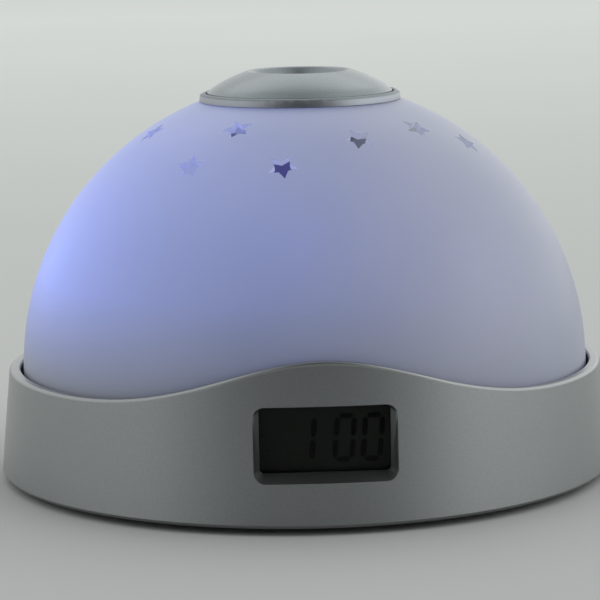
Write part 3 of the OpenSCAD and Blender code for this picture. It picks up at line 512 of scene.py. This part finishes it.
# ---- skirt: only its normals are changed
SKIRT_ANGLE = 26
CONE_OFF = 0.06 * MM
CONE_ALIGNED = 0.994
LIP_LOW = 16.0 * MM
LIP_LEAST = 0.12
LIP_CRISP = (1.7, 5.0)
CREST_MIDDLE = 1.8 * MM
CREST_HALF = 20.0 * MM
CREST_FULL = 0.5
QUARTER = math.pi / 2


def lip_normal(p, normal):
    """Shade the rim's round as a crisper edge, most of all at the crest over the display."""
    out = p.xy.normalized()
    across = normal.xy.dot(out)
    if across < LIP_LEAST or normal.z < LIP_LEAST or p.z < LIP_LOW:
        return normal
    crest = max(0.0, 1.0 - abs(p.x - CREST_MIDDLE) / CREST_HALF) if p.y < 0 else 0.0
    power = LIP_CRISP[0] + (LIP_CRISP[1] - LIP_CRISP[0]) * min(1.0, crest / CREST_FULL)
    along = normal.xy - out * across
    turned = QUARTER * (math.atan2(normal.z, across) / QUARTER) ** power
    size = math.hypot(normal.z, across)
    flat = out * (size * math.cos(turned)) + along
    return Vector((flat.x, flat.y, size * math.sin(turned))).normalized()


def skirt_normals(mesh, normals):
    """Shade the wall as a true cone, without facets, and its rim as a crisper edge."""
    lean = math.hypot(1.0, SKIRT_SLOPE)
    for face in mesh.polygons:
        for loop in face.loop_indices:
            p = mesh.vertices[mesh.loops[loop].vertex_index].co
            r = p.xy.length
            true = Vector((p.x / r, p.y / r, SKIRT_SLOPE)) / lean
            off = abs(r - SKIRT_R + (p.z - SKIRT_LIFT) * SKIRT_SLOPE)
            if off <= CONE_OFF and true.dot(face.normal) > CONE_ALIGNED:
                normals[loop] = true
            normals[loop] = lip_normal(p, normals[loop])


# ---- cap and ring: both are changed a little in shape, where they meet
CAP_ANGLE = 30
FLANK_LEAST = 0.3
FLANK_BLEND = 1.0 * MM
FOOT_DROP = 0.23 * MM
RING_ANGLE = 62
RING_EDGE_R = 18.4 * MM
EDGE_LEAST = 0.3 * MM
EDGE_RISE = 0.6 * MM


def lower_flank(mesh):
    """Bring the foot of the cap's flank down to the ring's lip, so that no bare wall shows above it."""
    flank = set()
    for face in mesh.polygons:
        out = face.center.xy.normalized()
        if face.normal.z > FLANK_LEAST and face.normal.xy.dot(out) > FLANK_LEAST:
            flank.update(face.vertices)
    foot = min(mesh.vertices[corner].co.z for corner in flank)
    for corner in flank:
        place = mesh.vertices[corner].co
        place.z -= FOOT_DROP * max(0.0, 1.0 - (place.z - foot) / FLANK_BLEND) ** 2
    mesh.update()


def raise_edge(mesh):
    """Make the ring's outer face taller, so that its bevel runs on from the cap's flank."""
    rim = [v.co for v in mesh.vertices if v.co.xy.length > RING_EDGE_R]
    low = min(place.z for place in rim)
    for place in rim:
        if place.z > low + EDGE_LEAST:
            place.z += EDGE_RISE
    mesh.update()


smooth_piece("ring_shell", "trim_ring", "base", "bright_ring", RING_ANGLE, reshape=raise_edge)
smooth_piece("skirt_shell", "base_skirt", "base", "silver_paint", SKIRT_ANGLE, retouch=skirt_normals)
smooth_piece("cap_shell", "top_button", "cap", "cap_silver", CAP_ANGLE, reshape=lower_flank)

# ---- round wire for the coil springs; the cap's spring gets a mesh of its own
WIRE_ANGLE = 75

smooth_piece("cell_coils", "battery_springs", "base", "bright_steel", WIRE_ANGLE)
cap_coil = smooth_piece("cap_coil", "button_spring", "base", "bright_steel", WIRE_ANGLE)
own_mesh(cap_coil)

# ---- figures on the display
DIGIT_H = 8.5 * MM
DIGIT_W = 3.9 * MM
DIGIT_LOW = 11.4 * MM
STROKE = 1.0 * MM
SEGMENT_GAP = 0.16 * MM
SLANT = math.tan(math.radians(4.5))
INK_T = 0.04 * MM
SEGMENTS = {"0": "abcdef", "1": "bc"}
FIGURES = (("1", -3.35 * MM), ("0", 3.45 * MM), ("0", 8.25 * MM))


def segment_outline(key):
    """Corner points of one bar of a seven-bar figure, about the figure's lower middle."""
    half = STROKE / 2
    x = DIGIT_W / 2 - half
    low, mid, high = half, DIGIT_H / 2, DIGIT_H - half
    ends = {
        "a": ((-x, high), (x, high)),
        "b": ((x, mid), (x, high)),
        "c": ((x, low), (x, mid)),
        "d": ((-x, low), (x, low)),
        "e": ((-x, low), (-x, mid)),
        "f": ((-x, mid), (-x, high)),
    }
    start, end = (Vector(p) for p in ends[key])
    run = (end - start).normalized()
    side = Vector((-run.y, run.x)) * half
    start = start + run * SEGMENT_GAP
    end = end - run * SEGMENT_GAP
    inset = run * half
    return [start, start + inset - side, end - inset - side,
            end, end - inset + side, start + inset + side]


def figures_mesh():
    """The figures as thin closed bars on the front of the display's panel."""
    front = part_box("lcd_panel")[0].y
    bm = bmesh.new()
    for figure, middle in FIGURES:
        for key in SEGMENTS[figure]:
            outline = [(middle + p.x + (p.y - DIGIT_H / 2) * SLANT, DIGIT_LOW + p.y)
                       for p in segment_outline(key)]
            back, face = ([bm.verts.new((x, y, z)) for x, z in outline] for y in (front, front - INK_T))
            bm.faces.new(face)
            bm.faces.new(back[::-1])
            for i in range(len(outline)):
                j = (i + 1) % len(outline)
                bm.faces.new((back[i], back[j], face[j], face[i]))
    bmesh.ops.recalc_face_normals(bm, faces=bm.faces)
    mesh = bpy.data.meshes.new("display_figures")
    bm.to_mesh(mesh)
    bm.free()
    return mesh


new_piece("display_figures", figures_mesh(), "base", "lcd_glass", DIGIT_INK)

# ---- floor
FLOOR_R = 7.0
FLOOR_SIDES = 96
FLOOR_NEAR = (0.495, 0.508, 0.497)
FLOOR_FAR = (0.755, 0.785, 0.76)
FLOOR_AWAY = (-0.15, 1.6)
FLOOR_POWER = 0.8
FLOOR_CLOUD = 6.0
FLOOR_CLOUD_TONE = (-0.015, 0.015)


def floor_material():
    """Pale paper with painted light: its colour grows lighter with the distance behind the object."""
    m = Material("floor", Roughness=0.9, Specular_IOR_Level=0.0)
    away = m.math("POWER", m.span(m.axes(m.place)[1], FLOOR_AWAY), FLOOR_POWER)
    cloud = m.span(m.noise(FLOOR_CLOUD), WIDE_NOISE, FLOOR_CLOUD_TONE)
    m.colour(m.blend(m.math("ADD", away, cloud), FLOOR_NEAR, FLOOR_FAR))
    return m.data


def add_floor():
    bm = bmesh.new()
    bmesh.ops.create_circle(bm, cap_ends=True, segments=FLOOR_SIDES, radius=FLOOR_R)
    mesh = bpy.data.meshes.new("floor")
    bm.to_mesh(mesh)
    bm.free()
    floor = bpy.data.objects.new("floor", mesh)
    scene.collection.objects.link(floor)
    dress(floor, floor_material())


# ---- light: the heading is a direction's part along +Y, seen from above
ROOM_TINT = (0.985, 1.0, 0.995)
ROOM_FRONT = 0.02
ROOM_FLANKS = 0.88
ROOM_FLANK_EDGES = (-0.98, -0.43)
ROOM_BACK = -0.02
ROOM_BACK_EDGES = (0.0, 0.6)
ROOM_RISE = 0.165
ROOM_RISE_EDGES = (0.5, 0.95)
ROOM_DIM_TOP = 0.3
ROOM_TOP_EDGES = (0.86, 0.995)
ROOM_LEFT_GAIN = 1.14
ROOM_LEFT_EDGES = (-1.0, 0.0)
ROOM_RIGHT_GAIN = 0.76
ROOM_RIGHT_EDGES = (0.0, 0.66)
ROOM_RIGHT_FADE = (0.35, 0.8)
ROOM_RIGHT_LOSS = 0.7
ROOM_REAR_EDGES = (-0.2, 0.6)
ROOM_RIGHT_REAR = 0.75
LAMP_AT = Vector((0.0, 1.15, 1.3))
LAMP_AIM = Vector((0.0, 0.0, 0.04))
LAMP_SIZE = (1.7, 0.8)
LAMP_WATTS = 2.2


def add_world():
    """A pale room: dark straight in front, bright at the sides and behind, brightest on the right."""
    scene.world = bpy.data.worlds.new("room")
    scene.world.use_nodes = True
    w = Nodes(scene.world.node_tree)
    place = w.add("ShaderNodeTexCoord").outputs["Generated"]
    x, _, z = w.axes(place)
    heading = w.axes(w.vector("NORMALIZE", w.vector("MULTIPLY", place, LEVEL)))[1]

    def soft(value, edges, ends):
        return w.span(value, edges, ends, "SMOOTHSTEP")

    flanks = soft(heading, ROOM_FLANK_EDGES, (ROOM_FRONT, ROOM_FRONT + ROOM_FLANKS))
    back = soft(heading, ROOM_BACK_EDGES, (0.0, ROOM_BACK))
    rise = soft(z, ROOM_RISE_EDGES, (0.0, ROOM_RISE))
    room = w.math("ADD", w.math("ADD", flanks, back), rise)
    overhead = soft(z, ROOM_TOP_EDGES, (1.0, 1.0 - ROOM_DIM_TOP))
    left = w.span(x, ROOM_LEFT_EDGES, (ROOM_LEFT_GAIN, 1.0))
    low = soft(z, ROOM_RIGHT_FADE, (1.0, 1.0 - ROOM_RIGHT_LOSS))
    rear = soft(heading, ROOM_REAR_EDGES, (1.0, ROOM_RIGHT_REAR))
    right = w.span(x, ROOM_RIGHT_EDGES, (0.0, ROOM_RIGHT_GAIN))
    right = w.math("MULTIPLY", w.math("MULTIPLY", right, low), rear)
    across = w.math("MULTIPLY", w.math("ADD", right, 1.0), left)
    strength = w.math("MULTIPLY", room, w.math("MULTIPLY", overhead, across))

    light = w.add("ShaderNodeBackground")
    light.inputs["Color"].default_value = (*ROOM_TINT, 1.0)
    w.link(strength, light.inputs["Strength"])
    w.link(light.outputs[0], w.add("ShaderNodeOutputWorld").inputs["Surface"])


def add_lamp():
    """One wide soft box above and behind the object."""
    data = bpy.data.lights.new("back_box", "AREA")
    data.shape = "RECTANGLE"
    data.size, data.size_y = LAMP_SIZE
    data.energy = LAMP_WATTS
    lamp = bpy.data.objects.new("back_box", data)
    lamp.location = LAMP_AT
    lamp.rotation_euler = (LAMP_AIM - LAMP_AT).to_track_quat("-Z", "Y").to_euler()
    scene.collection.objects.link(lamp)


scene.view_settings.view_transform = "Standard"
add_camera()
add_floor()
add_world()
add_lamp()
